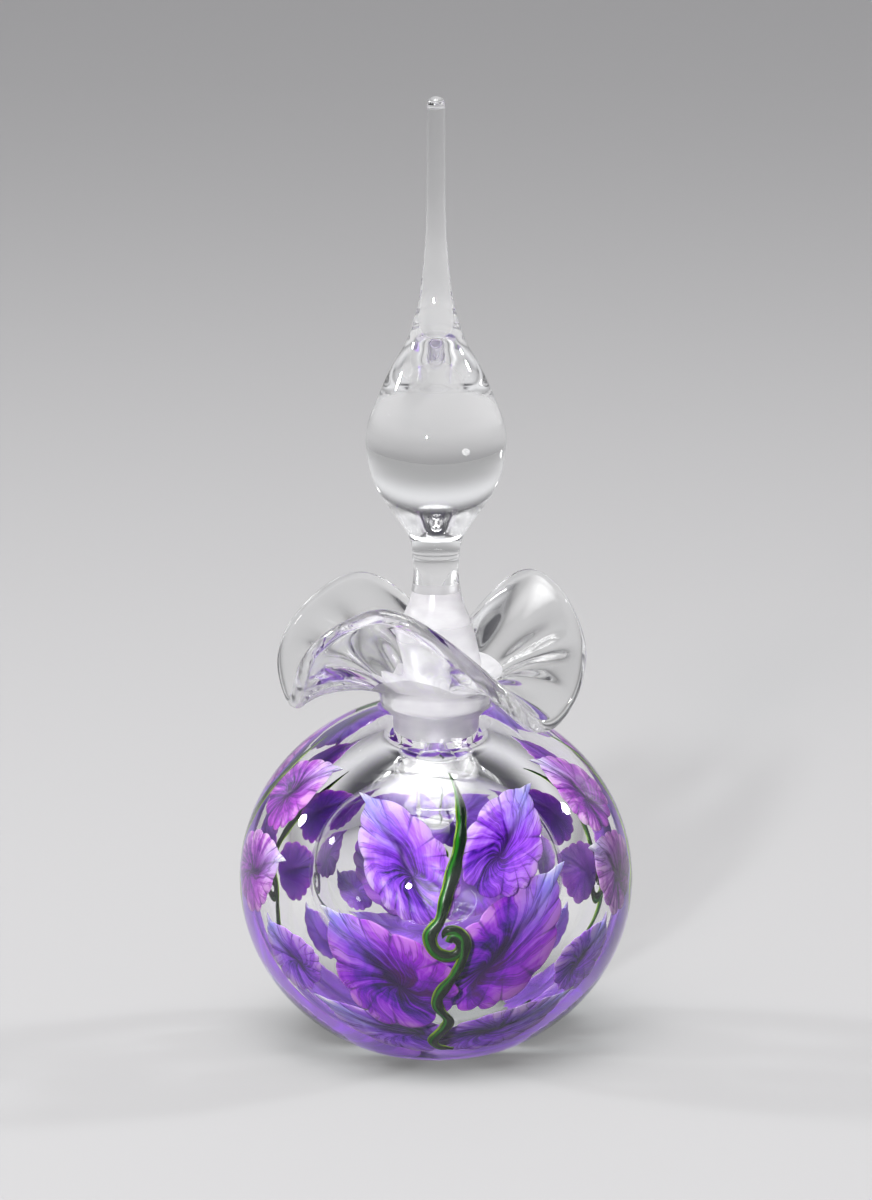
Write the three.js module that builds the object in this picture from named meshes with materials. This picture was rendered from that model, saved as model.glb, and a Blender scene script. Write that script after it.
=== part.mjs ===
// Studio art-glass perfume bottle with a tall ground-glass stopper.
// Millimetres, +Z up, the flat ground base on z = 0, the middle of the base at the origin,
// the front towards -Y.
import * as THREE from "three";

// ---------------------------------------------------------------- driving dimensions
const BODY_RADIUS = 42.6; // outside of the clear casing
const BODY_HALF_HEIGHT = 39.8;
const BODY_MIDDLE = 36.0; // height of the widest place, the base is ground off below it
const CASING_HOLE_RADIUS = 11.8; // where the casing stops round the neck

const SHELL_FLATTEN = 0.9; // height to width of the hidden layers
const CASING_INNER_RADIUS = 36.4;
const VINE_RADIUS = 35.2; // middle of the vine layer
const PETAL_RADIUS = 33.45; // middle of the petal layer
const GATHER_RADIUS = 32.4;

const CAVITY_RADIUS = 27.5;
const CAVITY_HALF_HEIGHT = 23.5;
const CAVITY_MIDDLE = 36.5;

const NECK_RADIUS = 11.5;
const NECK_TOP = 75.0; // the lip wrap sits on this flat ring

const BORE_MOUTH_HEIGHT = 82.0; // the ground taper is measured from here
const PLUG_MOUTH_RADIUS = 9.8;
const TAPER = 0.13; // radius lost for each mm of depth
const FIT_GAP = 0.3; // between the plug and its bore

const COLLAR_BASE_RADIUS = 12.4;
const COLLAR_THROAT_HEIGHT = 78.5;
const COLLAR_HALF_WALL = 1.2;
const COLLAR_HALF_BEAD = 1.4;

const PLUG_TIP = 47.0;
const PLUG_GROUND_END = 62.0; // the ground part of the plug stops here
const DAUBER_RADIUS = 4.2;
const PLUG_TOP = 107.6; // fuse line between plug and bulb
const BULB_TOP = 156.0; // fuse line between bulb and spire
const SPIRE_TOP = 205.0;
const SPIRE_BALL = 1.9;

const BODY_SIDES = 36;
const STOPPER_SIDES = 28;

// ---------------------------------------------------------------- finishes
function finish(color, roughness) {
  return new THREE.MeshStandardMaterial({ color, roughness, metalness: 0 });
}
const clearGlass = () => finish(0xe9eef0, 0.03);
const groundGlass = () => finish(0xf4f2f4, 0.6);
const petalGlass = () => finish(0x7a2bc0, 0.15);
const vineGlass = () => finish(0x14500f, 0.15);

// ---------------------------------------------------------------- helpers
const point = (radius, height) => new THREE.Vector2(radius, height);
const radians = THREE.MathUtils.degToRad;

function named(name, geometry, material) {
  const mesh = new THREE.Mesh(geometry, material);
  mesh.name = name;
  return mesh;
}

// A turned solid from a profile of (radius, height), stood up along +Z.
function turned(profile, sides) {
  return new THREE.LatheGeometry(profile, sides).rotateX(Math.PI / 2);
}

// Every vertex of a stock closed shape moved to where `place` puts it.
function reshape(geometry, place) {
  const from = geometry.attributes.position;
  const uv = geometry.attributes.uv;
  const vertex = new THREE.Vector3();
  for (let i = 0; i < from.count; i += 1) {
    vertex.fromBufferAttribute(from, i);
    const to = place(vertex, uv.getX(i), uv.getY(i));
    from.setXYZ(i, to.x, to.y, to.z);
  }
  geometry.computeVertexNormals();
  return geometry;
}

// Arc of an upright ellipse from one angle above the horizontal to another, in degrees.
function ellipseArc(radius, halfHeight, middle, from, to, steps) {
  const arc = [];
  for (let i = 0; i <= steps; i += 1) {
    const angle = radians(from + ((to - from) * i) / steps);
    arc.push(point(radius * Math.cos(angle), middle + halfHeight * Math.sin(angle)));
  }
  return arc;
}

// Angle above the horizontal at which an upright ellipse comes in to the given radius.
function angleAtRadius(ellipseRadius, radius) {
  return THREE.MathUtils.radToDeg(Math.acos(radius / ellipseRadius));
}

function smoothProfile(points, steps) {
  return new THREE.SplineCurve(points).getPoints(steps);
}

function plugRadius(height) {
  return PLUG_MOUTH_RADIUS - TAPER * (BORE_MOUTH_HEIGHT - height);
}

const boreRadius = (height) => plugRadius(height) + FIT_GAP;

// ---------------------------------------------------------------- bottle
// Clear outer gather: the ball that is seen, open at the neck, ground flat underneath.
function outerCasing() {
  const baseAngle = -THREE.MathUtils.radToDeg(Math.asin(BODY_MIDDLE / BODY_HALF_HEIGHT));
  const outerTop = angleAtRadius(BODY_RADIUS, CASING_HOLE_RADIUS);
  const innerTop = angleAtRadius(CASING_INNER_RADIUS, CASING_HOLE_RADIUS);
  const innerHalfHeight = CASING_INNER_RADIUS * SHELL_FLATTEN;
  const outside = ellipseArc(BODY_RADIUS, BODY_HALF_HEIGHT, BODY_MIDDLE, baseAngle, outerTop, 13);
  const inside = ellipseArc(CASING_INNER_RADIUS, innerHalfHeight, BODY_MIDDLE, innerTop, -90, 13);
  outside[0].y = 0;
  inside[inside.length - 1].x = 0;
  return turned([point(0, 0), ...outside, ...inside], BODY_SIDES);
}

// Blown bubble inside the casing, with the neck and its ground, tapered bore.
function innerGather() {
  const halfHeight = GATHER_RADIUS * SHELL_FLATTEN;
  const shoulder = angleAtRadius(GATHER_RADIUS, NECK_RADIUS);
  const outside = ellipseArc(GATHER_RADIUS, halfHeight, BODY_MIDDLE, -90, shoulder, 12);
  outside[0].x = 0;
  const boreEnd = boreRadius(60);
  const cavityTop = angleAtRadius(CAVITY_RADIUS, boreEnd);
  const cavity = ellipseArc(CAVITY_RADIUS, CAVITY_HALF_HEIGHT, CAVITY_MIDDLE, cavityTop, -90, 12);
  cavity[cavity.length - 1].x = 0;
  const neck = [point(NECK_RADIUS, NECK_TOP), point(boreRadius(NECK_TOP), NECK_TOP)];
  return turned([...outside, ...neck, ...cavity], BODY_SIDES);
}

// Middle line of the ruffled rim: three rises and three falls round the neck.
const RIM = new THREE.CatmullRomCurve3(
  [
    new THREE.Vector3(19.5, 25.5, 97.0), // high, right and behind
    new THREE.Vector3(11.5, 27.5, 89.8),
    new THREE.Vector3(3.0, 27.5, 83.5), // low, behind
    new THREE.Vector3(-7.0, 28.0, 90.5),
    new THREE.Vector3(-16.0, 27.0, 96.1), // high, left and behind
    new THREE.Vector3(-25.5, 17.0, 93.6),
    new THREE.Vector3(-31.2, 5.0, 88.2),
    new THREE.Vector3(-32.0, -5.0, 82.6),
    new THREE.Vector3(-29.4, -14.0, 78.6), // low, left
    new THREE.Vector3(-27.8, -18.5, 85.0),
    new THREE.Vector3(-24.0, -21.5, 91.8),
    new THREE.Vector3(-18.0, -24.5, 96.6),
    new THREE.Vector3(-11.0, -27.2, 99.3), // high, in front
    new THREE.Vector3(-3.0, -29.3, 96.6),
    new THREE.Vector3(6.5, -30.0, 89.5),
    new THREE.Vector3(15.0, -28.8, 81.5),
    new THREE.Vector3(21.4, -25.2, 75.9), // low, right and in front
    new THREE.Vector3(26.6, -18.6, 77.9),
    new THREE.Vector3(29.8, -8.0, 82.6),
    new THREE.Vector3(30.4, 4.0, 86.9),
    new THREE.Vector3(28.0, 15.5, 92.2),
    new THREE.Vector3(24.3, 21.6, 95.9),
  ],
  true,
  "centripetal",
);

// The point at a radius and a height on the same side of the neck as a point of the rim.
function onSideOf(rim, radius, height) {
  const reach = Math.hypot(rim.x, rim.y);
  return new THREE.Vector3((rim.x / reach) * radius, (rim.y / reach) * radius, height);
}

// Middle of the collar wall: `round` runs once round the rim, `out` from throat to rim.
function collarMiddle(round, out) {
  const rim = RIM.getPointAt(round % 1);
  const at = (radius, height) => onSideOf(rim, radius, height);
  const reach = Math.hypot(rim.x, rim.y);
  const rise = rim.z - 80;
  const line = new THREE.CubicBezierCurve3(
    at(11.4, COLLAR_THROAT_HEIGHT),
    at(14.5, 80.5 + 0.12 * rise),
    at(reach - 8, 81 + 0.5 * rise),
    rim,
  );
  return line.getPoint(out);
}

// Direction square to the collar wall, towards the funnel side.
function collarNormal(round, out) {
  const step = 0.004;
  const near = Math.min(out, 1 - step);
  const across = collarMiddle(round, near + step).sub(collarMiddle(round, near));
  const along = collarMiddle(round + step, out).sub(collarMiddle(round + 1 - step, out));
  return across.cross(along).normalize();
}

// Ruffled lip wrap: a ring whose section runs up the outside of the wall, over the
// rounded rim, down the inside and down the ground bore.
const COLLAR_STEPS = 5;
const COLLAR_SECTION = 2 * COLLAR_STEPS + 5;
const COLLAR_SIDES = 60;

function collarPoint(round, sectionStep) {
  const rim = RIM.getPointAt(round);
  const last = COLLAR_SECTION - 1;
  const mouth = COLLAR_THROAT_HEIGHT;
  if (sectionStep === 0) return onSideOf(rim, COLLAR_BASE_RADIUS, NECK_TOP);
  if (sectionStep === 1) return onSideOf(rim, COLLAR_BASE_RADIUS + 0.6, mouth - 0.8);
  if (sectionStep === last - 1) return onSideOf(rim, boreRadius(mouth), mouth);
  if (sectionStep === last) return onSideOf(rim, boreRadius(NECK_TOP), NECK_TOP);
  if (sectionStep === COLLAR_STEPS + 2) {
    const outward = collarMiddle(round, 1).sub(collarMiddle(round, 0.97)).normalize();
    return collarMiddle(round, 1).addScaledVector(outward, COLLAR_HALF_BEAD);
  }
  const below = sectionStep < COLLAR_STEPS + 2;
  const out = (below ? sectionStep - 1 : last - 1 - sectionStep) / COLLAR_STEPS;
  const half = THREE.MathUtils.lerp(COLLAR_HALF_WALL, COLLAR_HALF_BEAD, out);
  const offset = below ? -half : half;
  return collarMiddle(round, out).addScaledVector(collarNormal(round, out), offset);
}

function lipCollar() {
  const ring = new THREE.TorusGeometry(3, 1, COLLAR_SECTION, COLLAR_SIDES);
  return reshape(ring, (_, u, v) => {
    const sectionStep = Math.round(v * COLLAR_SECTION) % COLLAR_SECTION;
    return collarPoint(u % 1, sectionStep);
  });
}

// ---------------------------------------------------------------- flowers in the glass
// A place on the hidden layer of the given radius: degrees round from the front
// (positive to the right), degrees up, both as seen from the middle of the ball.
function onLayer(radius, round, up) {
  const level = Math.cos(radians(up));
  return new THREE.Vector3(
    radius * level * Math.sin(radians(round)),
    -radius * level * Math.cos(radians(round)),
    radius * Math.sin(radians(up)),
  );
}

// Flattens a ball-shaped layer and lifts it to the middle of the body.
function settle(vertex) {
  return new THREE.Vector3(vertex.x, vertex.y, BODY_MIDDLE + SHELL_FLATTEN * vertex.z);
}

// One petal: a lens bent onto its layer, pinched to a tip, its edge lightly scalloped.
const PETAL_HALF_THICKNESS = 0.68;

function petal({ round, up, width, length, lean }) {
  const middle = onLayer(1, round, up);
  const right = new THREE.Vector3(Math.cos(radians(round)), Math.sin(radians(round)), 0);
  const upward = middle.clone().cross(right);
  const turn = radians(lean);
  const lens = new THREE.SphereGeometry(1, 14, 5);
  lens.rotateX(Math.PI / 2);
  return reshape(lens, (vertex) => {
    const reach = Math.min(Math.hypot(vertex.x, vertex.y), 1);
    const angle = Math.atan2(vertex.x, vertex.y); // 0 at the tip
    const tip = Math.exp(-((angle / 0.3) ** 2));
    const scallop = 1 + 0.03 * Math.cos(9 * angle);
    const across = (width / 2) * Math.sin(angle) * (1 - 0.25 * Math.cos(angle)) * scallop;
    const along = (length / 2) * (Math.cos(angle) * (0.84 + 0.16 * tip) * scallop);
    const x = reach * (across * Math.cos(turn) + along * Math.sin(turn));
    const y = reach * (along * Math.cos(turn) - across * Math.sin(turn));
    const spot = middle.clone().addScaledVector(right, x / PETAL_RADIUS);
    spot.addScaledVector(upward, y / PETAL_RADIUS).normalize();
    return settle(spot.multiplyScalar(PETAL_RADIUS + vertex.z * PETAL_HALF_THICKNESS));
  });
}

// A low flower, as in front: degrees from the flower's middle line, degrees up, width and
// length in mm, lean of the tip in degrees clockwise.
const LOW_FLOWER = {
  upper_left: { round: -18.5, up: 25, width: 17, length: 28, lean: -30 },
  upper_right: { round: 22, up: 27, width: 15.5, length: 26, lean: 38 },
  lower_left: { round: -27, up: -17, width: 20, length: 30, lean: -38 },
  lower_right: { round: 25, up: -8, width: 19, length: 34, lean: 44 },
  base_left: { round: -38, up: -47, width: 11, length: 25, lean: -62 },
  base_right: { round: 36, up: -45, width: 11, length: 24, lean: 60 },
};

// A high flower, as at the sides, where a flower is even about its middle line.
function evenFlower(halves) {
  const flower = {};
  for (const [row, half] of Object.entries(halves)) {
    flower[`${row}_left`] = { ...half, round: -half.round, lean: -half.lean };
    flower[`${row}_right`] = half;
  }
  return flower;
}

const HIGH_FLOWER = evenFlower({
  upper: { round: 23, up: 37, width: 14, length: 22, lean: 28 },
  middle: { round: 21, up: 8, width: 15, length: 22, lean: 52 },
  lower: { round: 35, up: -16.5, width: 6.5, length: 15, lean: -33 },
  base: { round: 14.5, up: -42, width: 10.5, length: 18.5, lean: 10 },
});

// One vine: a flattened rod down the middle line of a flower, hooked at half height.
const VINE_HALF_WIDTH = 1.15;
const VINE_HALF_THICKNESS = 0.8;
const VINE_STEPS = 22;
const VINE_SIDES = 6;
const VINE_SPOTS = [
  [1, 48],
  [4, 36],
  [1, 18],
  [-3.5, 4],
  [-1, -3],
  [4, -8],
  [4, -14],
  [-3.5, -30],
  [1.5, -42],
  [-5, -54],
  [6, -60],
];

function vine(round) {
  const spots = VINE_SPOTS.map(([side, up]) => onLayer(VINE_RADIUS, round + side, up));
  const line = new THREE.CatmullRomCurve3(spots, false, "centripetal");
  const rod = new THREE.CylinderGeometry(1, 1, 1, VINE_SIDES, VINE_STEPS);
  return reshape(rod, (vertex) => {
    const along = vertex.y + 0.5;
    const centre = line.getPointAt(along);
    const outward = centre.clone().normalize();
    const sideways = line.getTangentAt(along).cross(outward).normalize();
    const taper = Math.min(1, 0.35 + 3 * Math.min(along, 1 - along));
    centre.setLength(VINE_RADIUS + vertex.z * VINE_HALF_THICKNESS * taper);
    return settle(centre.addScaledVector(sideways, vertex.x * VINE_HALF_WIDTH * taper));
  });
}

// ---------------------------------------------------------------- stopper
function stopperSpire() {
  const side = smoothProfile(
    [
      point(5.3, BULB_TOP),
      point(4.5, 158.6),
      point(3.5, 163),
      point(2.85, 168.5),
      point(2.2, 176),
      point(SPIRE_BALL, 191.5),
      point(SPIRE_BALL, SPIRE_TOP - SPIRE_BALL),
    ],
    12,
  );
  const ball = ellipseArc(SPIRE_BALL, SPIRE_BALL, SPIRE_TOP - SPIRE_BALL, 0, 90, 4);
  ball[4].x = 0;
  return turned([point(0, BULB_TOP), ...side, ...ball.slice(1)], STOPPER_SIDES);
}

function stopperBulb() {
  const side = smoothProfile(
    [
      point(5.1, PLUG_TOP),
      point(6.9, 113.1),
      point(9.95, 117.5),
      point(13.1, 122.5),
      point(15, 131.3),
      point(14.5, 136.2),
      point(11.1, 144.4),
      point(8.5, 149.5),
      point(5.3, BULB_TOP),
    ],
    18,
  );
  return turned([point(0, PLUG_TOP), ...side, point(0, BULB_TOP)], STOPPER_SIDES);
}

function stopperPlug() {
  const dauber = ellipseArc(DAUBER_RADIUS, 3.4, PLUG_TIP + 3.4, -90, 0, 4);
  dauber[0].x = 0;
  const ground = [
    point(DAUBER_RADIUS, PLUG_GROUND_END - 4),
    point(plugRadius(PLUG_GROUND_END) - 0.8, PLUG_GROUND_END - 1),
    point(plugRadius(PLUG_GROUND_END), PLUG_GROUND_END),
    point(plugRadius(72), 72),
    point(PLUG_MOUTH_RADIUS, BORE_MOUTH_HEIGHT),
  ];
  const skirt = smoothProfile(
    [
      point(PLUG_MOUTH_RADIUS, BORE_MOUTH_HEIGHT + 0.5),
      point(9.1, 86.6),
      point(7.9, 91.6),
      point(5.65, 98),
      point(4.8, 105),
      point(5.1, PLUG_TOP),
    ],
    10,
  );
  return turned([...dauber, ...ground, ...skirt, point(0, PLUG_TOP)], STOPPER_SIDES);
}

// ---------------------------------------------------------------- assembly
const bottle = new THREE.Group();
bottle.add(named("outer_casing", outerCasing(), clearGlass()));
bottle.add(named("inner_gather", innerGather(), clearGlass()));
bottle.add(named("lip_collar", lipCollar(), clearGlass()));

// Where each flower's middle line stands, degrees round from the front.
const FLOWERS = {
  front: { round: 6, petals: LOW_FLOWER },
  right: { round: 97, petals: HIGH_FLOWER },
  back: { round: 184, petals: LOW_FLOWER },
  left: { round: 264, petals: HIGH_FLOWER },
};
for (const [where, flower] of Object.entries(FLOWERS)) {
  for (const [which, shape] of Object.entries(flower.petals)) {
    const placed = { ...shape, round: shape.round + flower.round };
    bottle.add(named(`petal_${where}_${which}`, petal(placed), petalGlass()));
  }
  bottle.add(named(`vine_${where}`, vine(flower.round), vineGlass()));
}

const stopper = new THREE.Group();
stopper.add(named("stopper_spire", stopperSpire(), clearGlass()));
stopper.add(named("stopper_bulb", stopperBulb(), clearGlass()));
stopper.add(named("stopper_plug", stopperPlug(), groundGlass()));

const perfumeBottle = new THREE.Group();
perfumeBottle.add(bottle, stopper);

export default perfumeBottle;
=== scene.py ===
# %% [markdown]
# # A studio art-glass perfume bottle
# The real bottle is two gathers of clear glass over a blown bubble, with violet petals and
# green vines caught between them, a ruffled lip and a long stopper with a ground plug.
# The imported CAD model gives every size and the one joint. Here the faceted glass is rebuilt
# as smooth skins, because clear glass shows each facet, and the flowers get their colours.

# %% The frame, and its sizes in millimetres
import bpy
import numpy as np
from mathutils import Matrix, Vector


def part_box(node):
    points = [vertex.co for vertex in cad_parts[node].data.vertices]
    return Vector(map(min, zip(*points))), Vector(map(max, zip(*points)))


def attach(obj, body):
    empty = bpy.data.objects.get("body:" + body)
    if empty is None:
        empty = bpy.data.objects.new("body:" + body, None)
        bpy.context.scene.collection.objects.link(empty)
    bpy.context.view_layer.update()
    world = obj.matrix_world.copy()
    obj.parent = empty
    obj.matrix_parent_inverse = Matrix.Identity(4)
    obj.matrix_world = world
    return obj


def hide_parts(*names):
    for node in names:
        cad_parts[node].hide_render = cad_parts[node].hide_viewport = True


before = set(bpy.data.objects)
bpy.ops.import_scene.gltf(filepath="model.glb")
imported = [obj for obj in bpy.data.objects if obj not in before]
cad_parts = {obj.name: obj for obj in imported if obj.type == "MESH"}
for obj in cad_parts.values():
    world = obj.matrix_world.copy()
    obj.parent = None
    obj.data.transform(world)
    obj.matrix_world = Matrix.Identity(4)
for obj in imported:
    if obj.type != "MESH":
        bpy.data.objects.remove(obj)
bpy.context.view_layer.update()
MM = 0.001


def low_mm(node):
    """Lowest corner of a CAD node's box, in millimetres."""
    return np.array(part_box(node)[0]) / MM


def high_mm(node):
    """Highest corner of a CAD node's box, in millimetres."""
    return np.array(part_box(node)[1]) / MM


# %% [markdown]
# ## Skins worked out on a grid
# Every glass piece here is a closed skin: rings of points one above the other, with a single
# point closing each end. It could be made with the Spin or Screw tools, but a grid of points
# from a formula gives smooth normals and exact sizes, which refraction needs.


# %% A closed skin from rings of points
def skin(name, rings, first, last, body, slots, ring_slot=None, extras=None):
    """Quads join each point to the next one round and the same one in the next ring;
    fans of triangles join the end rings to the first and last points. Sizes in mm. The
    volume is the sum of a . (b x c) / 6 over the triangles; if negative, faces turn over."""
    count, sides = rings.shape[:2]
    points = np.vstack([rings.reshape(-1, 3), first, last]) * MM
    here = np.arange(count * sides).reshape(count, sides)
    beside = np.roll(here, -1, axis=1)
    quads = np.stack([here[:-1], beside[:-1], beside[1:], here[1:]], axis=-1).reshape(-1, 4)
    pole = np.full(sides, count * sides)
    start = np.stack([beside[0], here[0], pole], axis=-1)
    end = np.stack([here[-1], beside[-1], pole + 1], axis=-1)
    triangles = np.vstack([quads[:, [0, 1, 2]], quads[:, [0, 2, 3]], start, end])
    a, b, c = (points[triangles[:, i]] for i in range(3))
    volume = np.einsum("ij,ij->", a, np.cross(b, c)) / 6
    faces = quads.tolist() + start.tolist() + end.tolist()
    if volume < 0:
        faces = [face[::-1] for face in faces]
    mesh = bpy.data.meshes.new(name)
    mesh.from_pydata(points.tolist(), [], faces)
    mesh.polygons.foreach_set("use_smooth", np.ones(len(faces), bool))
    for slot in slots:
        mesh.materials.append(slot)
    if ring_slot is not None:
        of_quad = np.repeat(ring_slot[:-1], sides)
        ends = np.repeat([ring_slot[0], ring_slot[-1]], sides)
        of_face = np.concatenate([of_quad, ends]).astype(np.int32)
        mesh.polygons.foreach_set("material_index", of_face)
    for key, values in (extras or {}).items():
        layer = mesh.attributes.new(key, "FLOAT_VECTOR", "POINT")
        layer.data.foreach_set("vector", values.astype(np.float32).ravel())
    mesh.update()
    piece = bpy.data.objects.new(name, mesh)
    bpy.context.scene.collection.objects.link(piece)
    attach(piece, body)
    print(f"{name}: {len(faces)} faces, {abs(volume) / MM**3 / 1000:.2f} cm3")
    return piece


# %% [markdown]
# ## Smooth lines
# The rim, the vines and the turned profiles are lines that hot glass draws by itself, with no
# kink anywhere. Bezier curve objects could give them, but their bends have to be evened out
# by hand. A cubic spline keeps its curvature running on through every point, and a kink in
# curvature would show as a kink in a highlight.


# %% A curvature-smooth spline through points
def spline(points, count, closed=False):
    """Cubic pieces whose second derivatives M solve h0 M0 + 2 (h0 + h1) M1 + h1 M2 =
    6 (slope1 - slope0) at each point, resampled at even steps along the line."""
    p = np.asarray(points, float)
    if closed:
        p = np.vstack([p, p[:1]])
    n = len(p) - 1
    h = np.sqrt(np.linalg.norm(np.diff(p, axis=0), axis=1))
    slope = np.diff(p, axis=0) / h[:, None]
    system, right = np.eye(n + 1), np.zeros_like(p)
    for i in range(1, n):
        system[i, i - 1:i + 2] = h[i - 1], 2 * (h[i - 1] + h[i]), h[i]
        right[i] = 6 * (slope[i] - slope[i - 1])
    if closed:
        system[0] = 0
        system[0, [n - 1, 0, 1]] = h[-1], 2 * (h[-1] + h[0]), h[0]
        right[0] = 6 * (slope[0] - slope[-1])
        system[n, 0] = -1
    bend = np.linalg.solve(system, right)
    t = np.linspace(0, n, 200 * n + 1)
    i = np.minimum(t.astype(int), n - 1)
    u, w = (t - i)[:, None], h[i][:, None]
    line = p[i] * (1 - u) + p[i + 1] * u
    line += ((1 - u) ** 3 - (1 - u)) * bend[i] * w**2 / 6 + (u**3 - u) * bend[i + 1] * w**2 / 6
    run = np.concatenate([[0], np.cumsum(np.linalg.norm(np.diff(line, axis=0), axis=1))])
    even = np.linspace(0, run[-1], count, endpoint=not closed)
    return np.stack([np.interp(even, run, line[:, k]) for k in range(p.shape[1])], axis=1)


def arc(radius, half_height, middle, start, end, count):
    """Points of an upright ellipse between two angles above the horizontal, in degrees."""
    angle = np.radians(np.linspace(start, end, count))
    return np.stack([radius * np.cos(angle), middle + half_height * np.sin(angle)], axis=1)


def turned(profile, angles):
    """Each (radius, height) carried round the axis: (r cos a, r sin a, z)."""
    radius, height = profile[:, 0, None], profile[:, 1, None]
    return np.stack(
        [radius * np.cos(angles), radius * np.sin(angles), height + 0 * angles], axis=-1
    )


eighths = np.radians(np.arange(0, 360, 45))
circle = spline(np.stack([np.cos(eighths), np.sin(eighths)], axis=1), 100, closed=True)
print("a spline through 8 points of a circle is off by", np.ptp(np.hypot(*circle.T)).round(4))


# %% [markdown]
# ## Finishes
# Clear art glass is a fully transmitting surface with a refractive index near 1.5. The light
# that it throws could be traced as caustics, but they are slow and noisy. Here light that only
# casts shadow goes straight through, so the lamps reach the petals inside the glass. Ground
# glass is the same glass with a matt, white skin.


# %% Helpers for materials
def colour(code):
    """A screen colour such as 8f35cf as the linear colour that shaders use."""
    value = np.array([int(code[i:i + 2], 16) for i in (0, 2, 4)]) / 255
    linear = np.where(value <= 0.04045, value / 12.92, ((value + 0.055) / 1.055) ** 2.4)
    return (*linear, 1.0)


def new_material(name):
    """An empty node material with its output node."""
    material = bpy.data.materials.new(name)
    material.use_nodes = True
    material.node_tree.nodes.clear()
    output = material.node_tree.nodes.new("ShaderNodeOutputMaterial")
    return material, material.node_tree, output


def node(tree, kind, inputs=None, **settings):
    """Adds a node; each input is a socket to link from or a value to set."""
    made = tree.nodes.new(kind)
    for key, value in settings.items():
        setattr(made, key, value)
    for key, value in (inputs or {}).items():
        if isinstance(value, bpy.types.NodeSocket):
            tree.links.new(value, made.inputs[key])
        else:
            made.inputs[key].default_value = value
    return made


def sums(tree, operation, *values):
    """One Math node, as a socket."""
    return node(tree, "ShaderNodeMath", dict(enumerate(values)), operation=operation).outputs[0]


def ramp(tree, value, stops, ease="EASE"):
    """A colour ramp from (place, colour) pairs."""
    made = node(tree, "ShaderNodeValToRGB", {"Fac": value})
    made.color_ramp.interpolation = ease
    while len(made.color_ramp.elements) < len(stops):
        made.color_ramp.elements.new(0.5)
    for element, (place, tint) in zip(made.color_ramp.elements, stops):
        element.position, element.color = place, tint
    return made.outputs["Color"]


def blend_colours(tree, share, first, second):
    """Mixes two colours by a share."""
    made = node(tree, "ShaderNodeMix", data_type="RGBA")
    for key, value in ((0, share), (6, first), (7, second)):
        if isinstance(value, bpy.types.NodeSocket):
            tree.links.new(value, made.inputs[key])
        else:
            made.inputs[key].default_value = value
    return made.outputs[2]


def spread(tree, value, start, end, least=0.0, most=1.0):
    """A value that runs from start to end, stretched to run from least to most."""
    inputs = {"Value": value, "From Min": start, "From Max": end, "To Min": least, "To Max": most}
    return node(tree, "ShaderNodeMapRange", inputs).outputs[0]


print("8f35cf in linear light:", np.round(colour("8f35cf")[:3], 3))


# %% Clear and ground glass
def lit_through(tree, output, shader):
    """Shadow rays pass as if the glass were not there."""
    path = node(tree, "ShaderNodeLightPath")
    clear = node(tree, "ShaderNodeBsdfTransparent", {"Color": (0.94, 0.95, 0.95, 1)})
    inputs = {0: path.outputs["Is Shadow Ray"], 1: shader.outputs[0], 2: clear.outputs[0]}
    tree.links.new(node(tree, "ShaderNodeMixShader", inputs).outputs[0], output.inputs["Surface"])


def clear_glass():
    """Fire-polished glass: colourless, with the faint waviness of hand work."""
    material, tree, output = new_material("polished_glass")
    place = node(tree, "ShaderNodeTexCoord").outputs["Object"]
    waves = node(tree, "ShaderNodeTexNoise", {"Vector": place, "Scale": 38.0, "Detail": 1.5})
    bump = node(tree, "ShaderNodeBump",
                {"Height": waves.outputs[0], "Strength": 0.12, "Distance": 0.0006})
    glass = node(tree, "ShaderNodeBsdfPrincipled", {
        "Base Color": (0.985, 0.99, 0.987, 1), "Roughness": 0.0, "IOR": 1.5,
        "Transmission Weight": 1.0, "Normal": bump.outputs[0]})
    lit_through(tree, output, glass)
    return material


def ground_glass():
    """Glass ground with fine grit: part of the light scatters white, the rest blurs. It is
    finer, so clearer, towards the waist of the stopper."""
    material, tree, output = new_material("ground_matt_glass")
    place = node(tree, "ShaderNodeTexCoord").outputs["Object"]
    grit = node(tree, "ShaderNodeTexNoise", {"Vector": place, "Scale": 5200.0, "Detail": 3.0})
    rings = node(tree, "ShaderNodeTexNoise",
                 {"Vector": node(tree, "ShaderNodeMapping",
                                 {"Vector": place, "Scale": (160.0, 160.0, 420.0)}).outputs[0],
                  "Scale": 1.0, "Detail": 4.0})
    tint = ramp(tree, rings.outputs[0], [(0.3, colour("e6e3e7")), (0.7, colour("f6f4f6"))])
    bump = node(tree, "ShaderNodeBump",
                {"Height": grit.outputs[0], "Strength": 0.35, "Distance": 0.00005})
    height = node(tree, "ShaderNodeSeparateXYZ", {"Vector": place}).outputs[2]
    matt = spread(tree, height, 83 * MM, 101 * MM, 0.42, 0.14)
    frost = node(tree, "ShaderNodeBsdfPrincipled", {
        "Base Color": tint, "Roughness": matt, "IOR": 1.5,
        "Transmission Weight": 0.62, "Normal": bump.outputs[0]})
    lit_through(tree, output, frost)
    return material


CLEAR, GROUND = clear_glass(), ground_glass()
print("materials:", CLEAR.name, GROUND.name)
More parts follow.
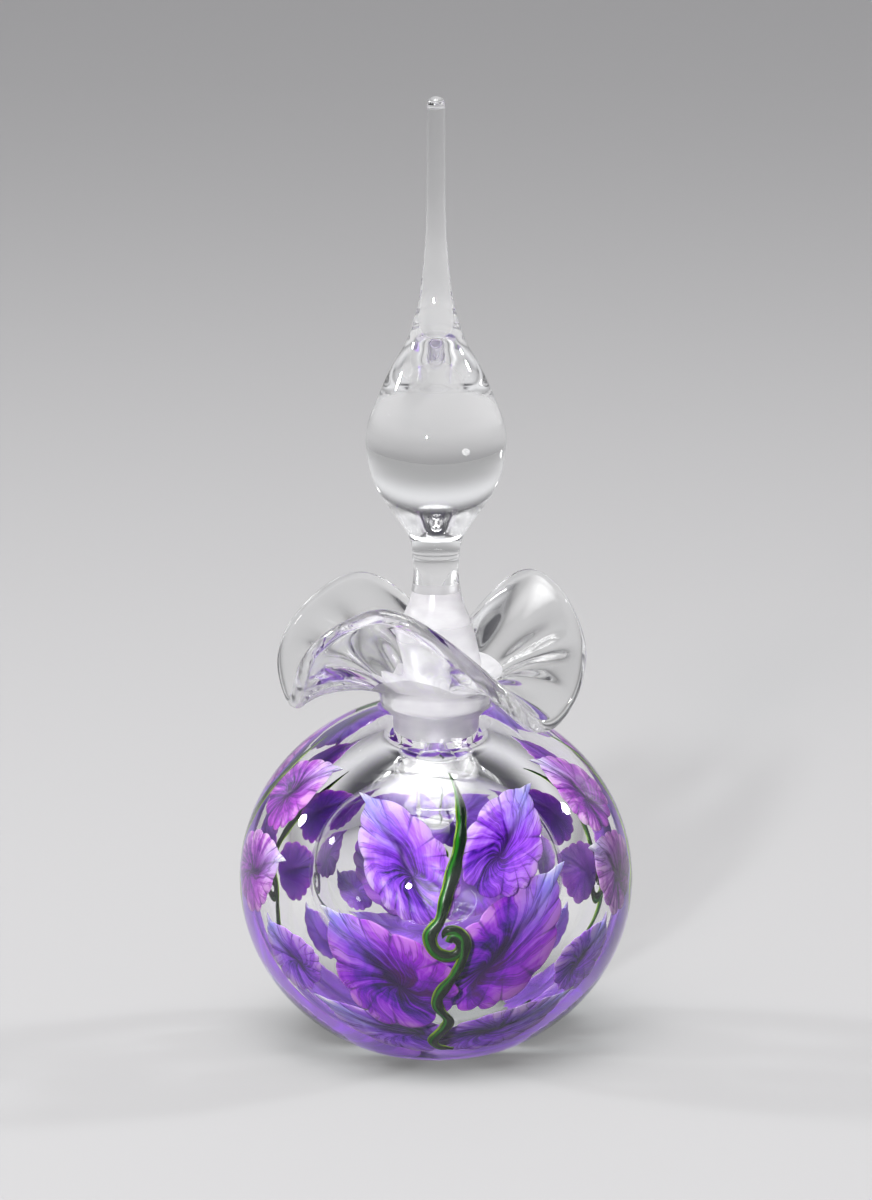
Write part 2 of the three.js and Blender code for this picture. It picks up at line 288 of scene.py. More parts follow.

# %% [markdown]
# ## The ruffled lip
# The maker wraps a bit of hot glass round the mouth, opens it like a lily and pulls it into
# three waves. A funnel bent by a lattice could give the waves, but not a rim in its exact
# place. The rim is the line that is seen, so it is drawn first, as listed points, and the wall
# is carried from the throat out to it.

# %% The rim, and the columns of the whole bottle
RIM_POINTS = [
    (19.5, 25.5, 97.0), (11.5, 27.5, 89.8), (3.0, 27.5, 83.5), (-7.0, 28.0, 90.5),
    (-16.0, 27.0, 96.1), (-25.5, 17.0, 93.6), (-31.2, 5.0, 88.2), (-32.0, -5.0, 82.6),
    (-29.4, -14.0, 78.6), (-27.8, -18.5, 85.0), (-24.0, -21.5, 91.8), (-18.0, -24.5, 96.6),
    (-11.0, -27.2, 99.3), (-3.0, -29.3, 96.6), (6.5, -30.0, 89.5), (15.0, -28.8, 81.5),
    (21.4, -25.2, 75.9), (26.6, -18.6, 77.9), (29.8, -8.0, 82.6), (30.4, 4.0, 86.9),
    (28.0, 15.5, 92.2), (24.3, 21.6, 95.9),
]
COLUMNS = 320
RUFFLE_LEVEL = 80  # the height that the ruffle swings about
rim = spline(RIM_POINTS, COLUMNS, closed=True)
reach = np.hypot(rim[:, 0], rim[:, 1])
round_angle = np.arctan2(rim[:, 1], rim[:, 0])
rise = rim[:, 2] - RUFFLE_LEVEL
print("rim from", rim[:, 2].min().round(1), "to", rim[:, 2].max().round(1), "mm up")

# %% The wall of the lip
THROAT = high_mm("inner_gather")[2] + 3.5  # the mouth, above the ring that the lip sits on
THROAT_RADIUS = 11.4
NECK_FLARE, NECK_FLARE_UP, NECK_SWING = 14.5, 80.5, 0.12
FOLD_INSET, FOLD_UP, FOLD_SWING = 8, 81, 0.5
ARCH, ARCH_ENDS = 4.5, 9  # extra height under a low rim, and the rise that needs none
HALF_WALL, HALF_BEAD, RIPPLE = 1.15, 1.8, 0.28


def beside_axis(radius, height):
    """Points at a radius and a height under each point of the rim."""
    flat = radius * np.cos(round_angle), radius * np.sin(round_angle)
    return np.stack([*flat, height + 0 * round_angle], axis=-1)


def lip_middle(out):
    """Cubic Bezier from throat (out 0) to rim (out 1): up the neck, then along the ruffle.
    Where the rim hangs low, the wall arches up before it comes down."""
    s = out[:, None, None]
    throat = beside_axis(THROAT_RADIUS, THROAT)
    rising = beside_axis(NECK_FLARE, NECK_FLARE_UP + NECK_SWING * rise)
    arched = FOLD_UP + FOLD_SWING * rise + ARCH * np.clip(1 - rise / ARCH_ENDS, 0, 1)
    opening = beside_axis(reach - FOLD_INSET, arched)
    return ((1 - s) ** 3 * throat + 3 * (1 - s) ** 2 * s * rising
            + 3 * (1 - s) * s**2 * opening + s**3 * rim)


def lip_rings():
    """Rings up the outside of the wall, over a half-round bead, and down the inside. Between
    throat and rim the wall is thicker and thinner by turns, from being pulled while hot."""
    out = np.linspace(0, 1, 30)
    middle = lip_middle(out)
    across = np.gradient(middle, axis=0)
    along = np.roll(middle, -1, axis=1) - np.roll(middle, 1, axis=1)
    normal = np.cross(across, along)
    normal /= np.linalg.norm(normal, axis=-1, keepdims=True)
    swell = np.clip((out - 0.12) / 0.6, 0, 1)
    half = (HALF_WALL + (HALF_BEAD - HALF_WALL) * swell**2 * (3 - 2 * swell))[:, None, None]
    ripple = np.sin(9 * round_angle + 1) + 0.7 * np.sin(14 * round_angle)
    ripple += np.sin(5 * round_angle + 2)
    half = half + RIPPLE * (np.sin(np.pi * out**1.4) ** 1.2)[:, None, None] * ripple[:, None]
    outward = across[-1] / np.linalg.norm(across[-1], axis=-1, keepdims=True)
    turn = np.radians(np.linspace(-90, 90, 15))[1:-1, None, None]
    bead = middle[-1] + HALF_BEAD * (np.cos(turn) * outward + np.sin(turn) * normal[-1])
    outside, inside = middle - half * normal, middle + half * normal
    return outside[3:], bead, inside[::-1]


lip_outside, lip_bead, lip_inside = lip_rings()
print("lip reaches", np.hypot(lip_bead[..., 0], lip_bead[..., 1]).max().round(1), "mm out")

# %% [markdown]
# ## The bottle as one skin
# Hot glass fuses, so the casing, the bubble and the lip have no faces between them: light
# crosses one outer skin and one inner skin. A Boolean union of the three could join them, but
# its seams would show in the refraction. So one skin runs from the ground base round the
# ball, over the lip, down the ground bore and round the hollow for the perfume.

# %% Bottle profile and skin
BALL_RADIUS = high_mm("outer_casing")[0]
BALL_MIDDLE, BALL_HALF = 36.0, 39.8
HOLLOW_RADIUS, HOLLOW_HALF, HOLLOW_MIDDLE = 27.5, 23.5, 36.5
PLUG_WIDEST, PLUG_WIDEST_AT, TAPER = 9.8, 82, 0.13
SEAT_GAP = 0.3
BASE_DROP, CREASE_RADIUS, BORE_END = 35.2, 11.9, 60
BORE_GROUND_FROM, LIP_GROUND_RINGS = 63, 9


def plug_radius(height):
    """The ground taper: widest at its top, less the taper for each millimetre down."""
    return PLUG_WIDEST - TAPER * (PLUG_WIDEST_AT - height)


def bottle_skin():
    """Base, ball and crease turned; lip rings as they are; bore and hollow turned."""
    start = -np.degrees(np.arcsin(BASE_DROP / BALL_HALF))
    crease = np.degrees(np.arccos(CREASE_RADIUS / BALL_RADIUS))
    base = np.array([(5, 0), (10, 0), (15, 0), (17.3, 0), (18.2, 0.12), (18.9, 0.4)])
    ball = arc(BALL_RADIUS, BALL_HALF, BALL_MIDDLE, start, crease, 90)[1:]
    neck = np.array([(11.62, 74.5), (11.75, 74.9), (12.1, 75.7), (12.4, 76.6)])
    heights = np.linspace(THROAT - 0.4, BORE_END, 30)
    bore = np.stack([plug_radius(heights) + SEAT_GAP, heights], axis=1)
    opening = np.degrees(np.arccos(bore[-1, 0] / HOLLOW_RADIUS))
    hollow = arc(HOLLOW_RADIUS, HOLLOW_HALF, HOLLOW_MIDDLE, opening, -87, 70)[1:]
    below = turned(np.vstack([base, ball, neck]), round_angle)
    inside = turned(np.vstack([bore, hollow]), round_angle)
    parts = [below, lip_outside, lip_bead, lip_inside, inside]
    rings = np.concatenate(parts)
    ring_slot = np.zeros(len(rings))
    first_bore = len(rings) - len(inside)
    last_ground = first_bore + np.sum(heights > BORE_GROUND_FROM)
    ring_slot[first_bore - LIP_GROUND_RINGS:last_ground] = 1
    bottom = (0, 0, HOLLOW_MIDDLE - HOLLOW_HALF)
    return skin("bottle_glass", rings, (0, 0, 0), bottom, "bottle", [CLEAR, GROUND], ring_slot)


bottle = bottle_skin()
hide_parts("outer_casing", "inner_gather", "lip_collar")

# %% [markdown]
# ## The stopper
# A solid drop drawn out to a point and joined at a narrow waist to the plug, which is ground
# to fit the bore. Three pieces could be stacked, but each hidden face would bend the light,
# and the real ones are fused. So it is one turned skin, and only its ground stretch is matt.
# The ball on the tip and the short clear dauber below the plug are rounded.

# %% Stopper profile and skin
TIP = high_mm("stopper_spire")[2]
PLUG_END = low_mm("stopper_plug")[2]
GROUND_FROM, GROUND_TO = 70, 99.5
STOPPER_SIDES = 128
FUSED_AT, FUSED_RIDGE, FUSED_HALF = 107.0, 0.14, 0.4

DRAWN_POINT = [
    (1.9, TIP - 1.9), (1.9, 191.5), (2.2, 176), (2.85, 168.5), (3.5, 163), (4.5, 158.6),
    (5.5, 155.3), (6.9, 152.1), (8.5, 149.5), (11.1, 144.4), (13.4, 138.9),
]
DROP = [
    (13.4, 138.9), (14.5, 135.9), (15.0, 131.3), (14.45, 127.1), (13.1, 122.5), (9.95, 117.5),
    (7.9, 114.6), (6.6, 112.6), (5.75, 111.0),
]
WAIST = [
    (5.75, 111.0), (5.3, 109.4), (5.02, 107.4), (4.85, 105), (4.9, 102.4), (5.65, 98),
    (6.4, 95.6), (7.9, 91.6), (9.1, 86.6), (9.65, 84.0), (9.8, 82.2),
]


def stopper_skin():
    """Tip ball, drawn point, drop, waist and skirt as splines, then the taper and dauber.
    A bell-shaped ridge stands round the waist, where the drop was fused to the plug."""
    ball = arc(1.95, 1.95, TIP - 1.95, 88, 0, 12)
    heights = np.linspace(81.6, 62.4, 24)
    plug = np.stack([plug_radius(heights), heights], axis=1)
    end = spline([plug[-1], (6.9, 61.4), (5.4, 60.0), (4.4, 57.6), (4.2, 54.5), (4.2, 51)], 24)
    dauber = arc(4.2, 4.0, PLUG_END + 4.0, 0, -88, 16)
    parts = [ball, spline(DRAWN_POINT, 90), spline(DROP, 60)[1:], spline(WAIST, 120)[1:],
             plug, end[1:], dauber]
    profile = np.vstack(parts)
    profile[:, 0] += FUSED_RIDGE * np.exp(-(((profile[:, 1] - FUSED_AT) / FUSED_HALF) ** 2))
    ring_slot = (profile[:, 1] > GROUND_FROM) & (profile[:, 1] < GROUND_TO)
    angles = np.linspace(0, 2 * np.pi, STOPPER_SIDES, endpoint=False)
    rings = turned(profile, angles)
    return skin("stopper_glass", rings, (0, 0, TIP), (0, 0, PLUG_END), "stopper",
                [CLEAR, GROUND], ring_slot.astype(int))


stopper = stopper_skin()
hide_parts("stopper_spire", "stopper_bulb", "stopper_plug")

# %% [markdown]
# ## Petals
# Each petal is a chip of striped violet glass laid on the bubble, combed from its edge to an
# eye with a pick, and pinched to a pale tip. They could be sculpted one by one, but one
# formula with other numbers for each keeps them alike, as chips worked by one hand are. The
# place, tip and size are measured on the CAD solid. The surface dips to the eye, as the pick
# leaves it, and its edge is scalloped.

# %% Where a petal lies
SHELL_FLATTEN = 0.9
LAYER_RADIUS = 33.4  # of the ball that the chips' sizes are measured on
PETAL_AROUND, PETAL_OUT = 150, 22


def round_again(points):
    """Undoes the flattening of the layer, so that it is a ball about the origin."""
    return (points - [0, 0, BALL_MIDDLE]) / [1, 1, SHELL_FLATTEN]


def petal_place(name):
    """Middle direction, direction to the tip, direction across, half length, half width."""
    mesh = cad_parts[name].data
    points = np.zeros(len(mesh.vertices) * 3)
    mesh.vertices.foreach_get("co", points)
    points = round_again(np.unique(points.reshape(-1, 3).round(7), axis=0) / MM)
    radius = np.linalg.norm(points, axis=1).mean()
    middle = points.mean(axis=0)
    middle /= np.linalg.norm(middle)
    flat = points / (points @ middle)[:, None] - middle
    distance = np.linalg.norm(flat, axis=1)
    tip = flat[distance.argmax()] / distance.max()
    across = np.cross(tip, middle)
    return middle, tip, across, radius * distance.max(), radius * np.abs(flat @ across).max()


print("front upper left petal:", np.round(petal_place("petal_front_upper_left")[3:], 1), "mm")


# %% How each petal is drawn from its solid
# Solids must not touch, but real petals do. The table gives times longer, times wider, the
# rise and the move to the right as shares of the layer's radius, and the turn in degrees.
DRAWN = {
    "upper_left": (1.5, 0.97, 0.13, -0.055, -10), "upper_right": (1.36, 0.99, 0.14, 0.04, 4),
    "lower_left": (1.5, 1.06, 0.06, -0.075, 5), "lower_right": (1.56, 1.1, 0.07, 0.04, -14),
    "base_left": (1.5, 1.2, -0.04, -0.03, 14), "base_right": (1.5, 1.2, -0.04, 0.03, -14),
    "side_upper": (1.2, 1.04, 0.06, 0, 0),
    "side_middle": (1.14, 1.08, 0, 0, 0), "side_lower": (1.45, 2.1, 0, 0, 0),
}


def how_drawn(name):
    """The entry of the table for a petal, by its flower, row and half."""
    side, row, half = name.split("_")[1:]
    from_edge = side in ("left", "right") and row != "base"
    return DRAWN[f"side_{row}" if from_edge else f"{row}_{half}"]


print(len(DRAWN), "ways to draw a petal from its solid")


# %% The outline of a petal
LOBES, NOTCH = 12, 0.12


def petal_outline(number):
    """Reach round the petal, tip first: 1 with scallops between lobes and a slow unevenness.
    The samples crowd round the tip, where the outline runs out into a thin tail."""
    rng = np.random.default_rng(number)
    t = np.linspace(0, 2 * np.pi, PETAL_AROUND, endpoint=False)
    angle = t - 0.8 * np.sin(t)
    phase, lobes = rng.uniform(0, 6.28, 4), LOBES + number % 4
    from_tip = np.minimum(angle, 2 * np.pi - angle)
    wobble = angle + 0.12 * np.sin(3 * angle + phase[3])
    notch = NOTCH * (1 - np.abs(np.sin(lobes * wobble / 2 + phase[0])) ** 0.6)
    uneven = 0.03 * np.sin(2 * angle + phase[1]) + 0.03 * np.sin(3 * angle + phase[2])
    edge = 1 - notch * np.clip(from_tip - 0.4, 0, 1) ** 0.5 + uneven * np.clip(from_tip, 0, 1)
    between = np.sin(lobes * wobble / 2 + phase[0])
    tail = np.exp(-((from_tip / 0.13) ** 2))
    across = np.sin(angle) * (1 - 0.32 * np.cos(angle)) * np.tanh(from_tip * 2.2) ** 0.4 * edge
    across += 0.16 * tail**2 * (1 if number % 2 else -1)
    along = np.cos(angle) * (0.87 + 0.2 * tail) * edge
    return across, along, between


print("petals have", LOBES, "to", LOBES + 3, "lobes")


# %% The surface of a petal
PETAL_RADIUS = 34.75
EYE_DIP, CREASE_DIP, FURROW_DIP, OVERLAP = 1.4, 0.35, 0.2, 0.5
HALF_MIDDLE, HALF_EDGE = 0.5, 0.06
SEED_STEP = 1.7


def petal_radius(number, u, v, out, between):
    """Distance from the ball's middle at u across and v along, both 1 at the outline. It dips
    by a bell curve at the eye, along the crease and between the lobes. The lower end lies
    deep, level or high by turns, so that neighbours overlap."""
    eye = np.exp(-((u / 0.5) ** 2 + ((v + 0.2) / 0.55) ** 2))
    crease = np.exp(-((u / 0.09) ** 2)) * np.clip(0.9 - v, 0, 1) * np.clip((v + 0.3) * 3, 0, 1)
    furrow = np.exp(-((between / 0.3) ** 2)) * out**2
    dips = EYE_DIP * eye + CREASE_DIP * crease + FURROW_DIP * furrow
    return PETAL_RADIUS - dips + OVERLAP * (number % 3 - 1) * (1 - v)


def petal_skin(name, number, material):
    """A lens on the ball: points at outline(angle) * out across and along, at petal_radius;
    the two faces are a thin wall apart, which tapers by a half circle towards the edge."""
    middle, tip, across, half_length, half_width = petal_place(name)
    longer, wider, raised, aside, turn = how_drawn(name)
    middle = middle - tip * (longer - 1) * half_length / LAYER_RADIUS + [0, 0, raised]
    middle = middle + aside * np.cross([0, 0, 1], middle)
    middle /= np.linalg.norm(middle)
    turn = np.radians(turn)
    tip, across = (tip * np.cos(turn) + across * np.sin(turn),
                   across * np.cos(turn) - tip * np.sin(turn))
    half_length, half_width = longer * half_length, wider * half_width
    wide, long, between = petal_outline(number)
    out = np.sin(np.linspace(0.03, 1, PETAL_OUT) * np.pi / 2)[:, None] ** 0.8
    u, v = out * wide, out * long
    radius = petal_radius(number, u, v, out, between)
    half = HALF_MIDDLE * np.sqrt(np.clip(1 - out**2, 0, 1)) + HALF_EDGE
    flat = u[..., None] * half_width * across + v[..., None] * half_length * tip
    spot = middle + flat / LAYER_RADIUS
    spot /= np.linalg.norm(spot, axis=-1, keepdims=True)
    faces = [spot * (radius + side * half)[..., None] for side in (1, -1)]
    rings = np.concatenate([faces[0], faces[1][::-1]]) * [1, 1, SHELL_FLATTEN]
    rings += [0, 0, BALL_MIDDLE]
    ends = [rings[0].mean(axis=0), rings[-1].mean(axis=0)]
    seed = number * SEED_STEP
    leaf = np.stack([u, v, np.full_like(u, seed)], axis=-1)
    leaf = np.concatenate([leaf, leaf[::-1]]).reshape(-1, 3)
    leaf = np.vstack([leaf, [0, 0, seed], [0, 0, seed]])
    lobe = np.stack([np.broadcast_to(between, u.shape), np.broadcast_to(out, u.shape), 0 * u], -1)
    lobe = np.concatenate([lobe, lobe[::-1] + [0, 0, 1]]).reshape(-1, 3)
    lobe = np.vstack([lobe, [1, 0, 0], [1, 0, 1]])
    return skin(name.replace("petal_", "violet_petal_"), rings, *ends, "bottle", [material],
                extras={"leaf": leaf, "lobe": lobe})


# %% [markdown]
# ## Petal glass
# The colours follow the combing: a near-black eye, deep violet streaks that run outwards with
# a slight swirl, lilac towards the scalloped edge, and a bluish white tip. It could be painted
# or unwrapped, but noise read by distance from the eye and angle round it gives streaks that
# differ on every petal. The mesh carries the petal's own coordinates: "leaf" is across, along
# and a seed; "lobe" is the place between two cuts, the way out, and 1 on the inner face.


# %% Streaks and folds about the eye
def numbers_of(tree, vector):
    """The three numbers of a vector, as sockets."""
    return node(tree, "ShaderNodeSeparateXYZ", {"Vector": vector}).outputs


def about_eye(tree, leaf, across, along, swirl):
    """Place across the eye, distance from it and angle round it. A slow noise shifts the
    place, and the angle turns by swirl * exp(-2.2 distance), so streaks spiral inwards."""
    warp = node(tree, "ShaderNodeTexNoise", {"Vector": leaf, "Scale": 1.3, "Detail": 2.0})
    shift = numbers_of(tree, warp.outputs["Color"])
    x = sums(tree, "ADD", across, sums(tree, "MULTIPLY_ADD", shift[0], 0.44, -0.22))
    y = sums(tree, "ADD", along, sums(tree, "MULTIPLY_ADD", shift[1], 0.4, 0.05))
    squares = sums(tree, "ADD", sums(tree, "POWER", x, 2.0), sums(tree, "POWER", y, 2.0))
    far = sums(tree, "SQRT", squares)
    fading = sums(tree, "EXPONENT", sums(tree, "MULTIPLY", far, -2.2))
    angle = sums(tree, "ADD", sums(tree, "ARCTAN2", y, x), sums(tree, "MULTIPLY", fading, swirl))
    return x, far, angle


def combing(tree, far, angle, seed):
    """Noise on a circle of the angle, nearly the same at every distance: radial streaks."""
    place = node(tree, "ShaderNodeCombineXYZ", {
        0: sums(tree, "MULTIPLY", sums(tree, "COSINE", angle), 3.0),
        1: sums(tree, "MULTIPLY", sums(tree, "SINE", angle), 3.0),
        2: sums(tree, "MULTIPLY_ADD", far, 0.5, seed)}).outputs[0]
    inputs = {"Vector": place, "Scale": 1.6, "Detail": 4.0, "Roughness": 0.55}
    return node(tree, "ShaderNodeTexNoise", inputs).outputs[0]


def folding(tree, far, angle, seed):
    """Noise that changes quickly with distance and slowly round: arcs about the eye."""
    place = node(tree, "ShaderNodeCombineXYZ", {
        0: sums(tree, "MULTIPLY", far, 6.0), 1: sums(tree, "SINE", angle), 2: seed}).outputs[0]
    inputs = {"Vector": place, "Scale": 1.2, "Detail": 2.0, "Distortion": 0.7}
    return node(tree, "ShaderNodeTexNoise", inputs).outputs[0]


def about_half(tree, noise, strength, value):
    """Adds a noise to a value, as much up as down."""
    return sums(tree, "MULTIPLY_ADD", sums(tree, "SUBTRACT", noise, 0.5), strength, value)


# %% Tip, veins, crease and cuts
DARK_LINE = colour("2a0560")


def bell(tree, value, sharp):
    """exp(-sharp * value squared), a line or band along the middle of the petal."""
    squared = sums(tree, "POWER", value, 2.0)
    return sums(tree, "EXPONENT", sums(tree, "MULTIPLY", squared, -sharp))


def with_tip(tree, tint, tip_tint, x, along, combed):
    """Bluish along the middle towards the tip, and nearly white at its end."""
    near_tip = about_half(tree, combed, 0.9, along)
    share = sums(tree, "MULTIPLY", spread(tree, near_tip, 0.1, 0.85), bell(tree, x, 6.0))
    tint = blend_colours(tree, share, tint, tip_tint)
    return blend_colours(tree, spread(tree, near_tip, 0.8, 1.05), tint, colour("efe6fb"))


def with_lines(tree, tint, x, along, combed, between, out):
    """Thin dark veins where the streaks cross one level, a dark crease from tip to eye, and
    a dark cut between two lobes that starts half way out."""
    level = sums(tree, "ABSOLUTE", sums(tree, "SUBTRACT", combed, 0.48))
    tint = blend_colours(tree, spread(tree, level, 0.0, 0.03, 0.5, 0.0), tint, DARK_LINE)
    ends = sums(tree, "MULTIPLY", spread(tree, along, 0.75, 0.1), spread(tree, along, -0.5, -0.1))
    crease = sums(tree, "MULTIPLY", bell(tree, x, 160.0), ends)
    tint = blend_colours(tree, sums(tree, "MULTIPLY", crease, 0.85), tint, colour("1c0340"))
    cut = sums(tree, "MULTIPLY", spread(tree, between, 0.0, 0.22, 0.8, 0.0),
               spread(tree, out, 0.45, 0.9))
    return blend_colours(tree, cut, tint, DARK_LINE)


# %% Striped violet glass
def petal_glass(name, stops, tip_tint, blush, swirl):
    """Tone rises with distance from the eye, plus streaks, folds and lobes, and picks the
    colour from the stops. The glass is translucent, so light from behind glows through."""
    material, tree, output = new_material(name)
    leaf = node(tree, "ShaderNodeAttribute", attribute_name="leaf").outputs["Vector"]
    across, along, seed = numbers_of(tree, leaf)
    lobe = node(tree, "ShaderNodeAttribute", attribute_name="lobe").outputs["Vector"]
    between, out, inner_face = numbers_of(tree, lobe)
    between = sums(tree, "ABSOLUTE", between)
    x, far, angle = about_eye(tree, leaf, across, along, swirl)
    combed = combing(tree, far, angle, seed)
    tone = about_half(tree, combed, 1.6, sums(tree, "MULTIPLY", far, 0.72))
    tone = about_half(tree, folding(tree, far, angle, seed), 0.6, tone)
    tone = sums(tree, "MULTIPLY_ADD", sums(tree, "MULTIPLY", between, out), 0.22, tone)
    tone = sums(tree, "MULTIPLY_ADD", along, 0.1, tone)
    tint = ramp(tree, tone, stops, "B_SPLINE")
    tint = blend_colours(tree, spread(tree, across, -0.3, 0.9, 0.0, 0.4), tint, blush)
    tint = with_tip(tree, tint, tip_tint, x, along, combed)
    tint = with_lines(tree, tint, x, along, combed, between, out)
    # Painted light: the inner face is mixed half way to a pale lilac, standing in for the light
    # that hardly reaches it inside the ball.
    tint = blend_colours(tree, sums(tree, "MULTIPLY", inner_face, 0.5), tint, colour("b27af2"))
    shader = node(tree, "ShaderNodeBsdfPrincipled", {
        "Base Color": tint, "Roughness": 0.3, "Specular IOR Level": 0.15,
        "Subsurface Weight": 0.5, "Subsurface Scale": 0.0018,
        "Subsurface Radius": (1.0, 0.6, 1.2)})
    tree.links.new(shader.outputs[0], output.inputs["Surface"])
    return material


LILAC = petal_glass("lilac_glass", [
    (0.0, colour("12002a")), (0.12, colour("38088e")), (0.28, colour("7220cc")),
    (0.5, colour("9a4aea")), (0.74, colour("b478fa")), (0.97, colour("d8b6ff"))],
    colour("a09aff"), colour("b05cf4"), 1.6)
VIOLET = petal_glass("violet_glass", [
    (0.0, colour("060012")), (0.2, colour("200060")), (0.38, colour("6004c0")),
    (0.54, colour("9414e2")), (0.72, colour("b240f6")), (0.92, colour("d68eff"))],
    colour("938cff"), colour("b02ad0"), 1.4)
MAGENTA = petal_glass("magenta_glass", [
    (0.0, colour("1c0030")), (0.14, colour("4a0878")), (0.32, colour("8214ac")),
    (0.55, colour("a636c8")), (0.75, colour("c468dc")), (0.95, colour("eab8f6"))],
    colour("d2bcff"), colour("b848cc"), 0.8)
print("petal glass:", LILAC.name, VIOLET.name, MAGENTA.name)

# %% All petals
FINISH = {"upper": LILAC, "lower": VIOLET, "base": LILAC}
SIDE_FINISH = {"upper": MAGENTA, "middle": MAGENTA, "lower": LILAC, "base": LILAC}
petal_names = sorted(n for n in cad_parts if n.startswith("petal_"))
for number, name in enumerate(petal_names):
    side, row = name.split("_")[1:3]
    finish = SIDE_FINISH if side in ("left", "right") else FINISH
    petal = petal_skin(name, number, finish[row])
    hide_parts(name)
print(len(petal_names), "petals")

# %% [markdown]
# ## Vines
# A rod of dark green glass is drawn down over the hot petals, hooked with the pick half way
# and let to wander to the base. A bevelled curve could make it, but its flat side would twist
# off the layer. Here a flattened section is carried along a spline on the layer just above
# the petals, and stays flat on it; the hook is a real spiral.

# %% A vine
VINE_LAYER, VINE_FLATTEN = 35.6, 0.62
VINE_AROUND, VINE_ALONG = 20, 260
# Degrees sideways and degrees up, for the leaf with its hook and for the stem below it.
VINE_LINE = [
    (2.6, 55), (5.0, 48.5), (5.8, 40), (4.4, 30), (1.4, 19), (-1.6, 8.5), (-3.6, 1.0),
    (-6.2, -3.2), (-6.0, -7.4), (-3.4, -10.9), (0.6, -11.6), (3.2, -9.2), (3.1, -6.0),
    (0.9, -4.4), (-0.5, -6.4),
]
STEM_LINE = [
    (-2.4, -5.0), (-1.2, -2.6), (2.0, -2.2), (4.3, -5.2), (4.5, -10.5), (2.2, -18.0),
    (-2.2, -25.5), (-4.2, -31.0), (-2.2, -36.5), (0.6, -41.0), (-2.6, -48.0), (-6.0, -54.5),
    (-2.0, -59.0), (6.0, -60.5),
]


def on_layer(radius, sideways, up):
    """Degrees sideways and up on the flattened layer, as a point in millimetres."""
    a, b = np.radians(sideways), np.radians(up)
    ball = np.stack([np.cos(b) * np.sin(a), -np.cos(b) * np.cos(a), np.sin(b)], axis=-1)
    return ball * radius


def vine_skin(name, spots, standing, width, material, taper=0.3):
    """A flattened round section carried along the spline, narrowed over the first share of
    its length, blunt at its end, and swelling a little by turns."""
    spots = np.array(spots, float)
    path = spline(on_layer(VINE_LAYER, spots[:, 0] + standing, spots[:, 1]), VINE_ALONG)
    along = np.linspace(0, 1, VINE_ALONG)
    outward = path / np.linalg.norm(path, axis=1, keepdims=True)
    forward = np.gradient(path, axis=0)
    sideways = np.cross(forward, outward)
    sideways /= np.linalg.norm(sideways, axis=1, keepdims=True)
    slim = np.clip(along / taper, 0.06, 1) ** 0.7 * np.clip((1 - along) / 0.05, 0.3, 1) ** 0.5
    swell = 1 + 0.12 * np.sin(along * 21 + standing) + 0.08 * np.sin(along * 47)
    half = width * slim * swell
    turn = np.linspace(0, 2 * np.pi, VINE_AROUND, endpoint=False)
    wide, thick = np.cos(turn)[None, :, None], np.sin(turn)[None, :, None]
    rings = (path[:, None] + half[:, None, None] * wide * sideways[:, None]
             + VINE_FLATTEN * half[:, None, None] * thick * outward[:, None])
    rings = rings * [1, 1, SHELL_FLATTEN] + [0, 0, BALL_MIDDLE]
    grid = np.broadcast_to(along[:, None], rings.shape[:2])
    rod = np.stack([grid, np.broadcast_to(np.cos(turn), grid.shape),
                    np.broadcast_to(np.sin(turn), grid.shape)], axis=-1).reshape(-1, 3)
    rod = np.vstack([rod, [0, 0, 0], [1, 0, 0]])
    return skin(name, rings, rings[0].mean(axis=0), rings[-1].mean(axis=0), "bottle",
                [material], extras={"rod": rod})


# %% [markdown]
# ## Vine glass
# The rod is nearly black green in its core. Its thin edges let yellow green through, and a
# brighter streak runs along one side where the maker's rod was striped. The stripes could be
# separate strips, but a colour ramp read round the rod and shifted by stretched noise wanders
# as drawn glass does.


# %% Green glass
def vine_glass():
    """Colour by place round the rod: dark middle, bright streak, yellow-green margins."""
    material, tree, output = new_material("vine_glass")
    rod = node(tree, "ShaderNodeAttribute", attribute_name="rod").outputs["Vector"]
    round_rod = numbers_of(tree, rod)[1]
    stretched = node(tree, "ShaderNodeMapping", {"Vector": rod, "Scale": (7.0, 1.6, 1.0)})
    wander = node(tree, "ShaderNodeTexNoise",
                  {"Vector": stretched.outputs[0], "Scale": 2.0, "Detail": 3.0}).outputs[0]
    place = sums(tree, "MULTIPLY_ADD", wander, 0.7, sums(tree, "SUBTRACT", round_rod, 0.35))
    tint = ramp(tree, sums(tree, "MULTIPLY_ADD", place, 0.5, 0.5), [
        (0.0, colour("8fb81e")), (0.07, colour("0a2606")), (0.3, colour("021406")),
        (0.56, colour("032008")), (0.72, colour("1a780a")), (0.86, colour("06280a")),
        (1.0, colour("8fb81e"))], "LINEAR")
    shader = node(tree, "ShaderNodeBsdfPrincipled", {
        "Base Color": tint, "Roughness": 0.25, "Specular IOR Level": 0.2})
    tree.links.new(shader.outputs[0], output.inputs["Surface"])
    return material


GREEN = vine_glass()
print("vine glass:", GREEN.name)

# %% All vines
VINES_STAND = {"front": 4.5, "right": 96, "back": 183, "left": 263}
LEAF_HALF, STEM_HALF = 1.35, 1.15
for where, standing in VINES_STAND.items():
    rod = vine_skin(f"green_vine_{where}", VINE_LINE, standing, LEAF_HALF, GREEN)
    stem = vine_skin(f"green_stem_{where}", STEM_LINE, standing, STEM_HALF, GREEN, 0.05)
    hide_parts(f"vine_{where}")
    print(where, "vine stands at", standing, "degrees")

# %% [markdown]
# ## Studio
# A plain pale floor and soft lamps. Glass has no colour of its own, so it is drawn by what it
# bends into view: a darker zone overhead gives its outline, and the lamps give its lights.
# A room could be built round the bottle, but a world graded by height does the same. One
# broad soft lamp overhead lights the floor. Three small far ones light the petals from the
# front and the sides, and reflect as small bright spots.


# %% Floor and surroundings
FLOOR_RADIUS, FLOOR_SIDES = 9, 96


